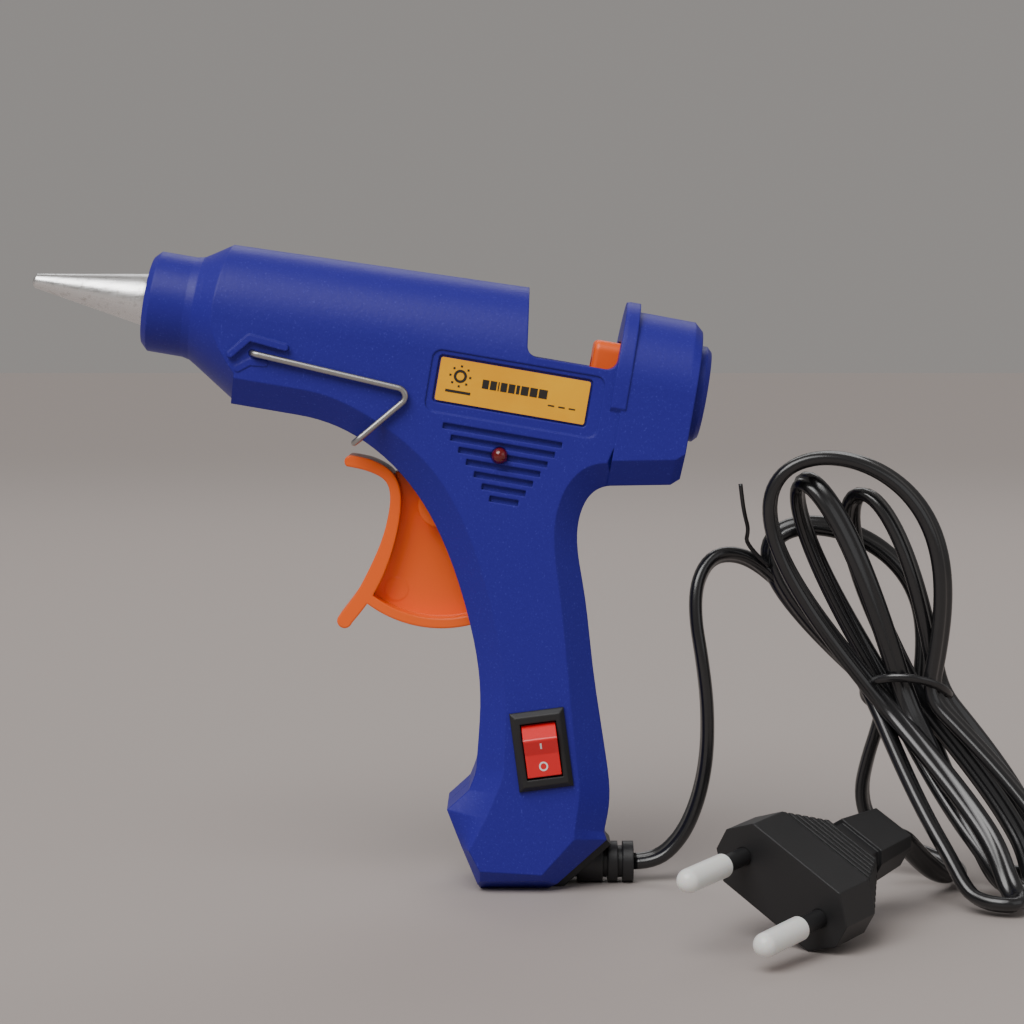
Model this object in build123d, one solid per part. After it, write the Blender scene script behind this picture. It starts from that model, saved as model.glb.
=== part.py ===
from build123d import *
import os
from math import atan2, cos, degrees, pi, radians, sin, tan

# Small electric glue gun for 7 mm sticks, standing on the foot of its grip with a tied mains lead.
# Millimetres.  The gun is drawn in barrel axes: x runs back along the barrel from the collar's front,
# y across it (-y is the side with the switch), z up from the barrel's axis.  to_world() then tilts it and
# stands it on its foot, so that the origin is the middle of the foot and +Z is up.

# --- driving dimensions -------------------------------------------------------------------------------
TILT = 9.7                # degrees that the nozzle points up when the gun stands
HALF_WIDTH = 12.6         # half the thickness of the housing
EDGE_DEPTH = 3.6          # how far the bevelled rim reaches in from each flat side
REAR_PROUD = 0.6          # how far the guide ring stands proud of the flat side
REAR_STEP = 0.25          # how far the rear shell steps in from the ring
WALL = 2.2                # housing wall
COLLAR_R = 9.7
COLLAR_LENGTH = 8.2
BARREL_TOP_FRONT = 13.3   # height of the barrel's crown above the axis
BARREL_TOP_REAR = 14.9
BARREL_START = 15.2
BARREL_END = 73.6
SLAB_FRONT = 19.9         # where the flat-sided body starts under the barrel
BARREL_LOW = 16.6         # depth of the barrel's underside below the axis
NOTCH_FLOOR = 1.8
NOTCH_END = 91.0
RING_TOP = 15.3
RING_LENGTH = 2.9
REAR_TOP = 13.7
REAR_END = 106.5
GUIDE_R = 9.3
GUIDE_LENGTH = 2.4
GRIP_LENGTH = 72.0        # from the trigger's pivot down to the foot, along z
PIVOT = (62.5, -29.2)
TRIGGER_THROW = 25.0      # degrees
TRIGGER_HALF = 5.6        # half width of the finger lip
ARM_HEIGHT = 19.5         # from the pivot up to the feeder pin's path
PIN_R = 1.5
PIN_HALF = 8.8            # half length of the trigger's pin
FEEDER_PIN_R = 1.2
STICK_R = 3.5             # 7 mm glue sticks
STICK_ROOM = 0.3          # clearance round a stick
NOZZLE_LENGTH = 22.3
NOZZLE_BASE_R = 5.0
NOZZLE_TIP_R = 1.4
ORIFICE_R = 0.9
CHAMBER_R = 6.2
WIRE_R = 0.6              # wire stand
RUN_FIT = 0.06            # radial play of a pin that turns
SLIDE_FIT = 0.3           # gap beside a sliding block
BEZEL = (10.4, 15.2)
ROCKER = (6.5, 10.2)
SWITCH_AT = (89.2, -71.5)
SWITCH_LEAN = 17.2        # degrees between the switch's long axis and z
LABEL = (28.6, 8.2)
LABEL_AT = (72.3, -5.1)
LAMP_AT = (71.9, -17.6)
LAMP_R = 1.5
SCREW_R = 1.3
SCREW_HEAD_R = 2.4
FOOT_HALF = 6.0
SCREW_SEAT = 9.0
GROOVES = 7
SWITCH_HOLE = (8.8, 13.2)
GLAND_AXIS = 4.0          # height of the cord's way out above the table
GLAND_NECK_R = 3.0
FORK_HALF = 2.6
FOOT_SLOPE = 25.0
RIB = 1.3
BOSS_R = 2.7
STAND_PIVOT = (22.7, -6.4)
STAND_ELBOW = (54.2, -8.4)
STAND_BAR = (44.4, -19.9)

CHAMBER_END = 46.0
SLEEVE_END = 72.6
HEATER = (23.0, 44.0)     # flat on the chamber that carries the heating element
HEATER_HALF = 4.2
HEATER_THICK = 2.2
FILM = 0.25               # insulating film
STEM_R = 4.9              # chamber's rear stem, gripped by the sleeve
WEB_HALF = 1.7            # trigger web and arm
SPRING_Y = 3.3            # where the return spring sits beside the trigger's hub
HUB_R = 4.4
SWEEP_R = 23.8            # outside of the trigger's lower flange, about its pivot
TINE = (2.1, 4.2)         # feeder fork, inner and outer half width
SLED = (-12.2, -7.4)      # feeder sled, bottom and top
BOSSES = [(21.5, -13.4), (77.0, -27.0), (99.0, -15.6), (86.0, -50.5), (84.5, -86.5)]
GLAND_R = 4.0
GLAND_END = 23.2          # world x of the gland's mouth
CORD_R = 2.0
CLAMP_X = 0.0
CLAMP_SCREW_R = 1.0
PLUG_AT = (46.4, -55.0, 10.8)
PLUG_YAW = 232.0
PLUG_DIP = 4.6
PLUG_ROLL = 31.0
PIN_GAP = 8.8             # half the distance between the plug's pins
PLUG_PIN_R = 1.6
PIN_CORE_R = 1.15         # metal inside the pin's insulating sleeve
PIN_SLEEVE_END = 7.0
PIN_ROUND_AT = 17.0       # middle of the pin's rounded end
CAP_R = 2.15
CAP_START = 6.6
BLOCK_HALF = 6.4          # feeder block
BLOCK_TOP = 7.1
BLOCK_FRONT = 86.3
BLOCK_LENGTH = 9.6
NECK_R = 4.0
SLEEVE_R = 5.4
GUIDE_SPIGOT_R = 7.0

os.makedirs("parts", exist_ok=True)


# --- helpers ------------------------------------------------------------------------------------------
def pt(u, w, y=0.0):
    return Vector(u, y, w)


def side_face(points, y=0.0):
    """Closed polygon in the barrel's side view."""
    return make_face(Polyline([pt(u, w, y) for u, w in points], close=True))


def prism(face, half, centre=0.0):
    """Side-view face thickened to +-half about y = centre."""
    return extrude(Pos(0, centre, 0) * face, amount=half, dir=(0, 1, 0), both=True)


def slab(u0, u1, half, w0, w1, y=0.0):
    """Box in barrel axes."""
    return Pos((u0 + u1) / 2, y, (w0 + w1) / 2) * Box(u1 - u0, 2 * half, w1 - w0)


def tube_x(r, u0, u1, y=0.0, w=0.0):
    """Cylinder along the barrel."""
    return Pos((u0 + u1) / 2, y, w) * Rot(0, 90, 0) * Cylinder(r, u1 - u0)


def tube_y(r, u, w, half, y=0.0):
    """Cylinder across the barrel."""
    return Pos(u, y, w) * Rot(90, 0, 0) * Cylinder(r, 2 * half)


def tombstone(u, half, top, low, rim):
    """Barrel section at u: elliptical crown, flat sides, bevelled underside."""
    crown = EllipticalCenterArc((0, 0), half, top, start_angle=0, arc_size=180)
    foot = half - EDGE_DEPTH
    belly = Polyline((-half, 0), (-half, rim - low), (-foot, -low), (foot, -low), (half, rim - low), (half, 0))
    plane = Plane(origin=(u, 0, 0), x_dir=(0, 1, 0), z_dir=(1, 0, 0))
    return plane * make_face([crown, belly])


def spin(points):
    """Solid of revolution about the barrel's axis from (u, r) points."""
    return revolve(side_face(points), axis=Axis.X)


def rod(points, radii, r):
    """Round wire along straight runs joined by arcs."""
    path = FilletPolyline(*points, radius=radii)
    return sweep(Plane(path @ 0, z_dir=path % 0) * Circle(r), path=path)


# --- housing ------------------------------------------------------------------------------------------
FOOT_W = PIVOT[1] - GRIP_LENGTH
RIM = 5.0                 # height of the bevelled rim in the side view


def down(k):
    """z of a point k of the way down the grip, from the pivot's height to the foot."""
    return PIVOT[1] - k * GRIP_LENGTH


# Rim line of the grip: each pair is a point of the outline and its partner on the flat side's border.
FOOT_FRONT = 82.4         # front corner of the foot
FOOT_RUN = 13.0
FOOT_RISE = FOOT_RUN * tan(radians(TILT))
FRONT = [
    ((33.0, -BARREL_LOW), (33.0, RIM - BARREL_LOW)),
    ((46.0, -19.4), (46.6, -14.6)),
    ((56.4, -26.4), (59.3, -22.0)),
    ((65.0, down(0.111)), (69.8, down(0.085))),
    ((71.6, down(0.290)), (77.0, down(0.297))),
    ((76.3, down(0.504)), (81.3, down(0.511))),
    ((77.5, down(0.657)), (82.6, down(0.636))),
    ((76.9, down(0.736)), (82.2, down(0.724))),
]
BEAK = [
    ((73.4, down(0.798)), (81.0, down(0.797))),
    ((77.5, down(0.893)), (78.8, down(0.888))),
    ((FOOT_FRONT, down(1.0)), (81.6, down(0.938))),
]
HEEL = [
    ((FOOT_FRONT + FOOT_RUN, down(1.0) + FOOT_RISE), (93.4, down(0.920))),
    ((104.7, down(0.806)), (98.3, down(0.811))),
    ((103.9, down(0.787)), (98.1, down(0.782))),
]
BACK = [
    ((104.0, down(0.740)), (98.0, down(0.735))),
    ((102.0, down(0.594)), (96.2, down(0.603))),
    ((96.2, down(0.347)), (91.2, down(0.350))),
    ((91.9, down(0.146)), (87.0, down(0.146))),
    ((89.0, -26.0), (84.6, -24.5)),
    ((94.2, -19.8), (92.2, -15.6)),
]


TOP = [(93.6, -10.0), (93.6, 4.0), (BARREL_END + 0.6, 4.0), (BARREL_END + 0.6, -1.0), (SLAB_FRONT, -1.0)]


def corners(side):
    """All corners of the slab's border, round from the barrel's underside: side 0 outside, 1 the flat side."""
    low = (-BARREL_LOW, RIM - BARREL_LOW)[side]
    return [(SLAB_FRONT, low)] + [pair[side] for pair in FRONT + BEAK + HEEL + BACK] + TOP


def outline(side, y):
    """Smooth border of the slab at depth y."""
    at = lambda pairs: [pt(*pair[side], y) for pair in pairs]
    front = Spline(at(FRONT), tangents=[(1, 0, 0), (-0.25, 0, -1)])
    back = Spline(at(BACK), tangents=[(0.02, 0, 1), (1, 0, 0.15)])
    lower = Polyline(at(FRONT[-1:] + BEAK + HEEL + BACK[:1]))
    rest = Polyline([back @ 1] + [pt(*p, y) for p in TOP + corners(side)[:1]] + [front @ 0])
    return Wire([front, *lower.edges(), back, *rest.edges()])


def body_slab():
    """Grip and underside: a straight middle with a bevelled rim on each side."""
    inner = HALF_WIDTH - EDGE_DEPTH
    middle = extrude(make_face(outline(0, -inner)), amount=2 * inner, dir=(0, 1, 0))
    near = Solid.make_loft([outline(0, -inner), outline(1, -HALF_WIDTH)], ruled=True)
    far = Solid.make_loft([outline(0, inner), outline(1, HALF_WIDTH)], ruled=True)
    return middle + near + far


def section_loft(stations, half, rim):
    """Tombstone sections joined along the barrel: stations are (u, top, low)."""
    walls = [tombstone(u, half, top, low, rim).wire() for u, top, low in stations]
    return Solid.make_loft(walls, ruled=True)


def notch():
    """The loading opening cut through the top, with rounded lower corners."""
    room = 2.2
    face = side_face([(BARREL_END - 2.6, 24.0), (BARREL_END + 0.3, NOTCH_FLOOR), (NOTCH_END, NOTCH_FLOOR),
                      (NOTCH_END + 0.4, 24.0)])
    corners = face.vertices().sort_by(Axis.Z)[:2]
    return prism(fillet(corners, room), 30.0)


def ridge(run, height, side):
    """Raised rib along a line on one flat side: side is -1 or 1."""
    line = offset(Polyline([pt(*p) for p in run]), RIB / 2)
    root = 0.5
    face = Pos(0, side * (HALF_WIDTH - root), 0) * make_face(line.edges())
    return extrude(face, amount=root + height, dir=(0, side, 0))


def chevrons():
    """Heat marks on both flat sides, round the place where the wire stand pivots."""
    u, w = STAND_PIVOT
    tall = [(u - 4.0, w - 0.9), (u - 0.9, w + 2.8), (u + 6.0, w + 2.1)]
    low = [(u - 2.3, w - 3.3), (u - 0.2, w - 1.7), (u + 2.6, w - 1.5)]
    return [ridge(run, height, side) for side in (-1, 1) for run, height in ((tall, 1.1), (low, 0.15))]


def foot_bevels():
    """Cuts that narrow the foot to a strip, so that its sides stand clear of the table."""
    corner = down(1.0)
    cuts = []
    for side in (-1, 1):
        wedge = Polyline(pt(0, 0, side * FOOT_HALF), pt(0, -9, side * FOOT_HALF), pt(0, -9, side * 30),
                         pt(0, tan(radians(FOOT_SLOPE)) * (30 - FOOT_HALF), side * 30), close=True)
        cut = extrude(make_face(wedge), amount=60, dir=(1, 0, 0), both=True)
        cuts.append(Pos(FOOT_FRONT, 0, corner) * Rot(0, -TILT, 0) * cut)
    return cuts


def shell_outside():
    nose_cone = BARREL_LOW + 1.0
    slope = tan(radians(33.0))
    cone_start = COLLAR_LENGTH + 3.0
    cone_r = COLLAR_R + 1.2
    collar = spin([(0.3, 0), (0.3, COLLAR_R - 1.2), (1.5, COLLAR_R), (COLLAR_LENGTH, COLLAR_R),
                   (COLLAR_LENGTH + 1.6, COLLAR_R + 0.35), (cone_start, cone_r),
                   (cone_start + (nose_cone - cone_r) / slope, nose_cone), (24.0, nose_cone), (24.0, 0)])
    envelope = section_loft([(0, BARREL_TOP_FRONT, BARREL_LOW), (24.0, BARREL_TOP_FRONT, BARREL_LOW)],
                            HALF_WIDTH, RIM)
    barrel = section_loft([(BARREL_START, BARREL_TOP_FRONT, BARREL_LOW),
                           (BARREL_END + 3, BARREL_TOP_REAR, BARREL_LOW)], HALF_WIDTH, RIM)
    beyond = BARREL_END + 10.0
    cone_limit = spin([(0, 0), (0, cone_r - slope * cone_start), (beyond, cone_r + slope * (beyond - cone_start)),
                       (beyond, 0)])
    rear_half = HALF_WIDTH + REAR_PROUD
    rise = 13.0 * tan(radians(TILT))
    ring = section_loft([(NOTCH_END, RING_TOP - 0.3, 10), (NOTCH_END + 0.9, RING_TOP, 10),
                         (NOTCH_END + RING_LENGTH, RING_TOP, 10)], rear_half, RIM)
    rear = section_loft([(NOTCH_END + 2.0, REAR_TOP, 20.0), (REAR_END - 1.6, REAR_TOP - 0.15, 20.0 - rise),
                         (REAR_END, REAR_TOP - 1.6, 18.6 - rise)], rear_half - REAR_STEP, RIM)
    body = (collar & envelope) + (barrel & cone_limit) + body_slab() + ring + rear
    return body - notch() - foot_bevels() + chevrons()


def hollow():
    """Everything that the two halves leave open inside."""
    bore_front = tube_x(COLLAR_R - WALL, 2.2, 16.0)
    bore = tube_x(BARREL_TOP_FRONT - WALL - 0.6, 14.0, BARREL_END - 3.4)
    mouth = tube_x(NECK_R + 0.8, -1.0, 4.0)
    inset = [offset(side_face(corners(k)), -WALL, kind=Kind.INTERSECTION) for k in (0, 1)]
    room = prism(inset[0], HALF_WIDTH - EDGE_DEPTH - 0.4) + prism(inset[1], HALF_WIDTH - WALL)
    below = slab(0, 130, 20, -140, -3.2)
    track = slab(NOTCH_END - 17.0, REAR_END - 2.2, BLOCK_HALF + SLIDE_FIT, -12.8, BLOCK_TOP + SLIDE_FIT)
    inlet = tube_x(SLEEVE_R + 0.4, BARREL_END - 6.0, BARREL_END + 4.0)
    rear_hole = tube_x(GUIDE_SPIGOT_R + 0.05, REAR_END - 7.0, REAR_END + 2.0)
    return bore_front + bore + mouth + (room & below) + track + inlet + rear_hole


def ring_x(r_out, r_in, u0, u1):
    """Tube along the barrel's axis."""
    return tube_x(r_out, u0, u1) - tube_x(r_in, u0 - 1, u1 + 1)


def boss_posts():
    """Screw posts that cross the hollow, with their pilot holes."""
    return [tube_y(BOSS_R, u, w, HALF_WIDTH - 1.0) for u, w in BOSSES]


def screw_room():
    """Pilot and head holes for the screws, which go in from the far side."""
    cuts = []
    for u, w in BOSSES:
        cuts.append(tube_y(SCREW_R + 0.02, u, w, 10.0, 0.8))
        cuts.append(tube_y(SCREW_HEAD_R + 0.15, u, w, 3.0, SCREW_SEAT + 3.0))
    return cuts


def screws():
    """Pan-head self-tapping screws, one for each post."""
    made = []
    for u, w in BOSSES:
        length = 16.0
        shank = tube_y(SCREW_R, u, w, length / 2, SCREW_SEAT - length / 2 + 0.5)
        head = tube_y(SCREW_HEAD_R, u, w, 0.9, SCREW_SEAT + 0.9)
        slot = Pos(u, SCREW_SEAT + 1.8, w) * Box(3.2, 1.4, 0.6) + Pos(u, SCREW_SEAT + 1.8, w) * Box(0.6, 1.4, 3.2)
        made.append(shank + head - slot)
    return made


def grooves():
    """Blind cooling grooves on both flat sides, shorter towards the trigger."""
    cuts = []
    for side in (-1, 1):
        for i in range(GROOVES):
            left = 60.4 + 1.83 * i
            right = 83.2 - 1.05 * i
            bar = slab(left, right, 1.0, -14.3 - 2.03 * i, -13.2 - 2.03 * i, side * (HALF_WIDTH + 0.2))
            cuts.append(bar)
    return cuts


def label_recess():
    u, w = LABEL_AT
    outer = Pos(u + 0.5, -HALF_WIDTH, w - 0.5) * Box(LABEL[0] + 4.4, 0.5, LABEL[1] + 3.6)
    outer = fillet(outer.edges().filter_by(Axis.Y), 1.8)
    inner = Pos(u, -HALF_WIDTH, w) * Box(LABEL[0] + 0.9, 1.4, LABEL[1] + 0.9)
    return outer + fillet(inner.edges().filter_by(Axis.Y), 0.8)


def trigger_slot():
    reach = prism(Pos(PIVOT[0], 0, PIVOT[1]) * Rot(90, 0, 0) * Circle(SWEEP_R + 0.6), TRIGGER_HALF + 0.5)
    below = side_face([(30, PIVOT[1] + 5.6), (PIVOT[0] + 6, PIVOT[1] + 5.6), (76, -48), (76, -60), (30, -60)])
    return reach & prism(below, 20)


def at_switch(shape):
    """Place a shape made about the origin, long axis on z and face towards -y, at the switch's place."""
    return Pos(SWITCH_AT[0], -HALF_WIDTH, SWITCH_AT[1]) * Rot(0, -SWITCH_LEAN, 0) * shape


def pin_seats():
    """Blind seats for the trigger's pin and the wire stand's ends."""
    seats = [tube_y(PIN_R + RUN_FIT, *PIVOT, PIN_HALF)]
    u, w = STAND_PIVOT
    for side in (-1, 1):
        seats.append(tube_y(WIRE_R + RUN_FIT, u, w, 1.6, side * HALF_WIDTH))
    return seats


def pivot_posts():
    """Posts in each half that carry the trigger's pin."""
    reach = PIN_HALF - TRIGGER_HALF - 0.4
    middle = (PIN_HALF + TRIGGER_HALF + 0.4) / 2
    return [tube_y(PIN_R + 1.6, *PIVOT, reach / 2, side * middle) for side in (-1, 1)]


def gland_seat():
    """Notch in the heel that the strain relief's collar and neck sit in."""
    hole = Pos(GLAND_END - 14.5, 0, GLAND_AXIS) * Rot(0, 90, 0) * Cylinder(GLAND_NECK_R + 0.05, 27.0)
    return from_world(hole)


def housing():
    outside = shell_outside()
    solid = outside - hollow()
    ribs = ring_x(BARREL_TOP_FRONT - WALL, CHAMBER_R + 0.1, 15.0, 17.0)
    posts = [post & outside for post in boss_posts() + pivot_posts()]
    solid = solid + posts + ribs
    solid = solid - trigger_slot() - screw_room() - grooves() - label_recess() - pin_seats()
    solid = solid - at_switch(Pos(0, 3, 0) * Box(SWITCH_HOLE[0], 8, SWITCH_HOLE[1]))
    solid = solid - tube_y(LAMP_R + 0.05, *LAMP_AT, 3.0, -HALF_WIDTH)
    solid = solid - slab(22.6, 25.6, 0.6, BARREL_TOP_FRONT - 4.0, BARREL_TOP_FRONT + 1.0)
    return solid - gland_seat()


def halves():
    whole = housing()
    near = whole & Pos(30, -50, -50) * Box(300, 100, 300)
    far = whole & Pos(30, 50, -50) * Box(300, 100, 300)
    return near, far


# --- heating parts ------------------------------------------------------------------------------------
def nozzle():
    outside = [(-NOZZLE_LENGTH, 0), (-NOZZLE_LENGTH, NOZZLE_TIP_R - 0.5), (-NOZZLE_LENGTH + 0.5, NOZZLE_TIP_R),
               (-0.6, NOZZLE_BASE_R), (0.3, NOZZLE_BASE_R), (0.3, NECK_R), (3.2, NECK_R), (3.2, 3.0),
               (8.0, 3.0), (8.0, 0)]
    channel = [(-NOZZLE_LENGTH - 1, 0), (-NOZZLE_LENGTH - 1, ORIFICE_R), (-NOZZLE_LENGTH + 5, ORIFICE_R),
               (4.0, 2.2), (9.0, 2.2), (9.0, 0)]
    return spin(outside) - spin(channel)


def nozzle_bush():
    return ring_x(COLLAR_R - WALL - 0.03, CHAMBER_R + 0.03, 4.0, 9.0)


def melt_chamber():
    stick = STICK_R + STICK_ROOM
    tube = spin([(3.2, 3.02), (3.2, CHAMBER_R), (CHAMBER_END, CHAMBER_R), (CHAMBER_END, STEM_R),
                 (CHAMBER_END + 5, STEM_R), (CHAMBER_END + 5, stick), (10.5, stick), (8.2, 2.2),
                 (8.0, 2.2), (8.0, 3.02)])
    pad = slab(*HEATER, HEATER_HALF + 0.6, -CHAMBER_R - 1.0, -CHAMBER_R + 1.4)
    return tube + (pad - tube_x(stick, 0, 60))


def heater_stack():
    """Heating element, its film wrap and the spring clip that presses it to the chamber."""
    top = -CHAMBER_R - 1.0
    u0, u1 = HEATER[0] + 2, HEATER[1] - 2
    plate = slab(u0, u1, HEATER_HALF, top - FILM - HEATER_THICK, top - FILM)
    wrap = slab(u0 + 1, u1 - 1, HEATER_HALF + FILM, top - 2 * FILM - HEATER_THICK, top) - plate
    low = top - 2 * FILM - HEATER_THICK
    gap = 0.7
    outer = tube_x(CHAMBER_R + gap, u0 + 4, u1 - 4) + slab(u0 + 4, u1 - 4, HEATER_HALF + FILM + 1.3, low - gap, 0)
    inner = tube_x(CHAMBER_R, u0, u1) + slab(u0, u1, HEATER_HALF + 0.6, low, 0)
    clip = outer - inner - slab(u0, u1, 2.4, 0, 10)
    return plate, wrap, clip


def inlet_sleeve():
    stick = STICK_R + STICK_ROOM
    lip = STEM_R + 1.2
    return spin([(CHAMBER_END, STEM_R), (CHAMBER_END, lip), (CHAMBER_END + 5.6, lip), (CHAMBER_END + 7, SLEEVE_R),
                 (SLEEVE_END, SLEEVE_R), (SLEEVE_END, stick), (CHAMBER_END + 5, stick), (CHAMBER_END + 5, STEM_R)])


def sleeve_clamp():
    lip = STEM_R + 1.2
    band = ring_x(lip + 0.7, lip, CHAMBER_END + 1.2, CHAMBER_END + 4.0)
    ear = slab(CHAMBER_END + 1.2, CHAMBER_END + 4.0, 1.0, lip + 0.3, lip + 3.0)
    return band + (ear - tube_x(lip, 40, 60))


def rear_guide():
    stick = STICK_R + STICK_ROOM
    end = REAR_END + GUIDE_LENGTH
    return spin([(REAR_END - 6.5, stick + 0.6), (REAR_END - 6.5, GUIDE_SPIGOT_R), (REAR_END, GUIDE_SPIGOT_R),
                 (REAR_END, GUIDE_R), (end - 0.9, GUIDE_R), (end, GUIDE_R - 0.9), (end, stick + 1.2),
                 (end - 1.2, stick), (REAR_END - 5.9, stick)])


# --- feed and trigger ---------------------------------------------------------------------------------
def polar(r, angle, about=PIVOT):
    """Point at a distance and an angle from the trigger's pivot, angle 0 towards +x."""
    a = radians(angle)
    return (about[0] + r * cos(a), about[1] + r * sin(a))


def feeder_pin_at():
    """Feeder pin's place at rest: on its straight path, where the arm crosses it."""
    return PIVOT[0] + ARM_HEIGHT * tan(radians(TRIGGER_THROW / 2)), PIVOT[1] + ARM_HEIGHT


def feeder_carriage():
    stick = STICK_R + STICK_ROOM
    u, w = feeder_pin_at()
    back = BLOCK_FRONT + BLOCK_LENGTH
    block = slab(BLOCK_FRONT, back, BLOCK_HALF, SLED[0], BLOCK_TOP)
    block = fillet(block.edges().filter_by(Axis.X).group_by(Axis.Z)[-1], 2.0)
    block = fillet(block.edges().group_by(Axis.X)[0].group_by(Axis.Z)[-1], 1.0)
    block = block - tube_x(stick, 60, 120)
    sled = slab(u + 6.0, back, TINE[1], *SLED)
    tines = [slab(u - 2.4, u + 6.0, (TINE[1] - TINE[0]) / 2, *SLED, side * sum(TINE) / 2) for side in (-1, 1)]
    return block + (sled - tube_x(stick, 60, 120)) + tines - tube_y(FEEDER_PIN_R + 0.01, u, w, 8)


def feeder_pin():
    return tube_y(FEEDER_PIN_R, *feeder_pin_at(), TINE[1])


def trigger():
    """Finger lip, thin web, lower flange and the forked arm that drives the feeder."""
    pad_front = Spline([pt(43.4, -24.9), pt(48.8, -25.4), pt(51.2, -26.5), pt(52.5, -29.0), pt(52.8, -32.4),
                        pt(52.2, -38.5), pt(49.7, -47.4), pt(46.5, -53.9)], tangents=[(1, 0, 0), (-0.45, 0, -0.85)])
    pad_back = Spline([pt(49.3, -54.6), pt(52.6, -48.2), pt(54.7, -39.4), pt(55.0, -32.2), pt(53.9, -26.9),
                       pt(51.6, -24.2), pt(48.8, -23.1), pt(43.9, -22.7)], tangents=[(0.5, 0, 0.85), (-1, 0, 0)])
    tip = ThreePointArc(pad_front @ 1, pt(47.4, -55.7), pad_back @ 0)
    nose = ThreePointArc(pad_back @ 1, pt(42.8, -23.8), pad_front @ 0)
    pad = extrude(make_face([pad_front, tip, pad_back, nose]), amount=TRIGGER_HALF, dir=(0, 1, 0), both=True)
    web_path = [polar(HUB_R, 120), (57.6, -24.1), (52.6, -24.5), (54.2, -38.0), (52.4, -46.5), polar(SWEEP_R - 0.8, -115),
                polar(SWEEP_R - 0.8, -95), polar(SWEEP_R - 0.8, -75), polar(SWEEP_R - 0.8, -62), polar(HUB_R, -30)]
    web = prism(side_face(web_path), WEB_HALF)
    circle = lambda r, half: tube_y(r, *PIVOT, half)
    band = circle(SWEEP_R, TRIGGER_HALF) - circle(SWEEP_R - 1.9, 20)
    wedge = side_face([PIVOT, polar(60, -118), polar(60, -90), polar(60, -61)])
    flange = band & prism(wedge, 20)
    hub = circle(HUB_R, TRIGGER_HALF) - tube_y(HUB_R + 1, *PIVOT, 2, SPRING_Y + 1.8)
    reach = ARM_HEIGHT / cos(radians(TRIGGER_THROW / 2))
    arm = Pos(0, 0, (reach + 2.5) / 2) * Box(2 * FORK_HALF, 2 * WEB_HALF, reach + 2.5)
    slot_low = ARM_HEIGHT - FEEDER_PIN_R - 0.3
    fork = Pos(0, 0, slot_low + 10) * Box(2 * (FEEDER_PIN_R + 0.08), 10, 20)
    arm = Pos(PIVOT[0], 0, PIVOT[1]) * Rot(0, TRIGGER_THROW / 2, 0) * (arm - fork)
    ejector = tube_y(2.3, 56.6, -47.0, 0.06, -WEB_HALF)
    return pad + web + flange + hub + arm - circle(PIN_R + RUN_FIT, 20) + ejector


def trigger_pin():
    return tube_y(PIN_R, *PIVOT, PIN_HALF)


def return_spring():
    """Torsion spring round the pin's far end, one leg on the trigger and one on the housing."""
    y0 = SPRING_Y + 0.3
    coil = Helix(pitch=0.8, height=1.6, radius=PIN_R + 1.4, direction=(0, 1, 0), center=(PIVOT[0], y0, PIVOT[1]))
    start = coil @ 0
    wire = sweep(Plane(start, z_dir=coil % 0) * Circle(0.3), path=coil)
    return wire


def wire_stand():
    """Swinging stand: one bent wire, its two ends turned in to the housing's sides."""
    out = HALF_WIDTH + 0.45 + WIRE_R
    inside = HALF_WIDTH - 1.4
    bend = 1.2
    near = [pt(*STAND_PIVOT, -inside), pt(*STAND_PIVOT, -out), pt(*STAND_ELBOW, -out), pt(*STAND_BAR, -out)]
    far = [Vector(p.X, -p.Y, p.Z) for p in reversed(near)]
    return rod(near + far, [bend, 1.6, 1.6, 1.6, 1.6, bend], WIRE_R)


def label_plate():
    u, w = LABEL_AT
    plate = Pos(u, -HALF_WIDTH + 0.45, w) * Box(*(LABEL[0], 0.5), LABEL[1])
    return fillet(plate.edges().filter_by(Axis.Y), 0.4)


def indicator_lamp():
    u, w = LAMP_AT
    dome = tube_y(LAMP_R, u, w, 1.6, -HALF_WIDTH + 1.2) + Pos(u, -HALF_WIDTH - 0.4, w) * Sphere(LAMP_R)
    flange = tube_y(LAMP_R + 0.4, u, w, 0.4, -HALF_WIDTH + WALL + 0.4)
    legs = [tube_y(0.25, u + dx, w, 1.0, -HALF_WIDTH + WALL + 1.6) for dx in (-0.65, 0.65)]
    return dome + flange + legs


def lamp_resistor():
    """Series resistor lying beside the lamp, on its two leads."""
    u, w = LAMP_AT
    y = -HALF_WIDTH + WALL + 1.6
    body = tube_x(0.85, u + 4, u + 9, y, w)
    return body + tube_x(0.25, u + 1.2, u + 12, y, w)


def switch_body():
    """Snap-in switch case with its bevelled bezel and rocker well."""
    bezel = Pos(0, -0.7, 0) * Box(BEZEL[0], 1.4, BEZEL[1])
    bezel = chamfer(bezel.faces().sort_by(Axis.Y)[0].edges(), 0.9)
    case = Pos(0, 5.0, 0) * Box(SWITCH_HOLE[0] - 0.1, 10.0, SWITCH_HOLE[1] - 0.1)
    well = Pos(0, 1.0, 0) * Box(ROCKER[0] + 0.4, 8.0, ROCKER[1] + 0.6)
    return at_switch(bezel + case - well)


def switch_terminals():
    blade = Box(0.8, 4.0, 3.2)
    return [at_switch(Pos(0, 12.0, z) * blade) for z in (-3.6, 0.6)]


def rocker_profile():
    """Side view of the rocker, (y, z) from its pivot: raised top end, valley, flush lower end."""
    half = ROCKER[1] / 2
    return [(1.8, half - 0.9), (-0.6, half), (-3.4, half - 2.7), (-2.0, -0.6), (-1.6, -half + 0.15),
            (1.2, -half + 0.5), (3.2, -1.2), (3.2, 1.2)]


def switch_rocker():
    face = make_face(Polyline([Vector(0, y, z) for y, z in rocker_profile()], close=True))
    body = extrude(face, amount=ROCKER[0] / 2, dir=(1, 0, 0), both=True)
    front = body.edges().filter_by(Axis.X).group_by(Axis.Y)[0]
    return at_switch(fillet(front, 0.5))


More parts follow.
